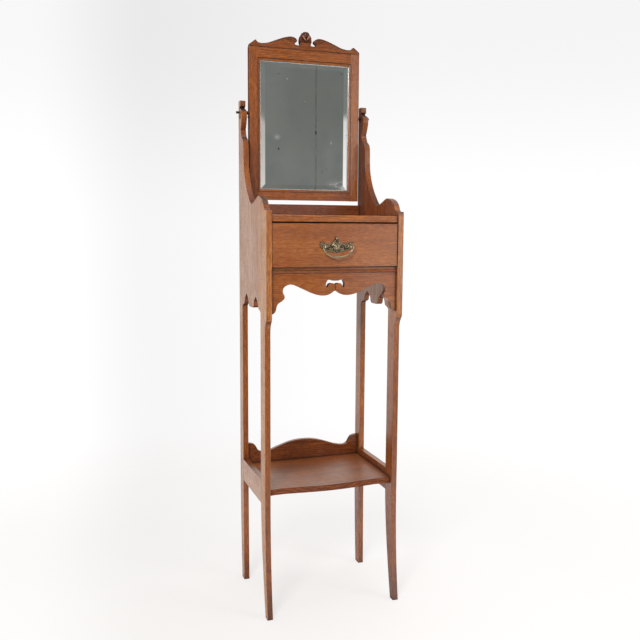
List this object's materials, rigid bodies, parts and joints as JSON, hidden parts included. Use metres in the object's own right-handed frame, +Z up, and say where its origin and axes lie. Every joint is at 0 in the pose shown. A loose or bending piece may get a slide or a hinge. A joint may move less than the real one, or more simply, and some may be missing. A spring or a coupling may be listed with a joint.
{
  "type": "shaving stand",
  "caption": "Tall narrow oak shaving stand: tilting bevelled mirror with carved crest between shaped posts, one drawer with a bail pull, scrolled apron and a low bowed shelf",
  "frame": {"origin": "On the floor, under the middle of the whole stand's bounding box.", "axes": "+Z up, the drawer and the mirror face -Y, +X is to the viewer's right when facing the front."},
  "size_m": [0.4238, 0.3262, 1.676],
  "materials": {
    "oak": "golden-brown stained oak under worn shellac",
    "secondary_wood": "bare planed secondary wood, darkened with age",
    "aged_brass": "tarnished cast brass, rubbed bright on its high spots",
    "steel": "dull steel",
    "mirror_glass": "silvered plate glass with a ground bevel"
  },
  "bodies": {
    "stand": {"left_front_leg": "oak", "left_side_panel": "oak", "left_back_post": "oak", "right_front_leg": "oak", "right_side_panel": "oak", "right_back_post": "oak", "left_side_rail": "oak", "right_side_rail": "oak", "top_board": "oak", "top_gallery": "oak", "case_back": "secondary_wood", "drawer_rail": "oak", "front_apron": "oak", "left_runner": "secondary_wood", "right_runner": "secondary_wood", "drawer_stops": "secondary_wood", "apron_blocks": "secondary_wood", "shelf": "oak", "shelf_gallery": "oak", "shelf_cleats": "secondary_wood", "post_plates": "aged_brass"},
    "drawer": {"drawer_front": "oak", "drawer_left_side": "secondary_wood", "drawer_right_side": "secondary_wood", "drawer_back": "secondary_wood", "drawer_bottom": "secondary_wood", "pull_plate": "aged_brass", "pull_posts": "aged_brass", "pull_nuts": "steel"},
    "pull_bail": {"pull_bail": "aged_brass"},
    "mirror": {"mirror_left_stile": "oak", "mirror_right_stile": "oak", "mirror_top_rail": "oak", "mirror_bottom_rail": "oak", "mirror_crest": "oak", "mirror_glass": "mirror_glass", "mirror_backboard": "secondary_wood", "pivot_plates": "aged_brass"},
    "left_pivot_screw": {"left_pivot_screw": "aged_brass"},
    "right_pivot_screw": {"right_pivot_screw": "aged_brass"}
  },
  "joints": [
    {"name": "drawer_slide", "type": "slide", "parent": "stand", "child": "drawer", "axis": [0, -1, 0], "range_m": [0, 0.215]},
    {"name": "bail_swing", "type": "hinge", "parent": "drawer", "child": "pull_bail", "pos_m": [0, -0.15887, 1.044], "axis": [-1, 0, 0], "range_deg": [-18, 145]},
    {"name": "mirror_tilt", "type": "hinge", "parent": "stand", "child": "mirror", "pos_m": [0, 0.14713, 1.432], "axis": [1, 0, 0], "range_deg": [-90, 90]},
    {"name": "left_pivot_turn", "type": "hinge", "parent": "stand", "child": "left_pivot_screw", "pos_m": [-0.2, 0.14713, 1.432], "axis": [1, 0, 0], "range_deg": [-180, 180]},
    {"name": "right_pivot_turn", "type": "hinge", "parent": "stand", "child": "right_pivot_screw", "pos_m": [0.2, 0.14713, 1.432], "axis": [1, 0, 0], "range_deg": [-180, 180]}
  ]
}
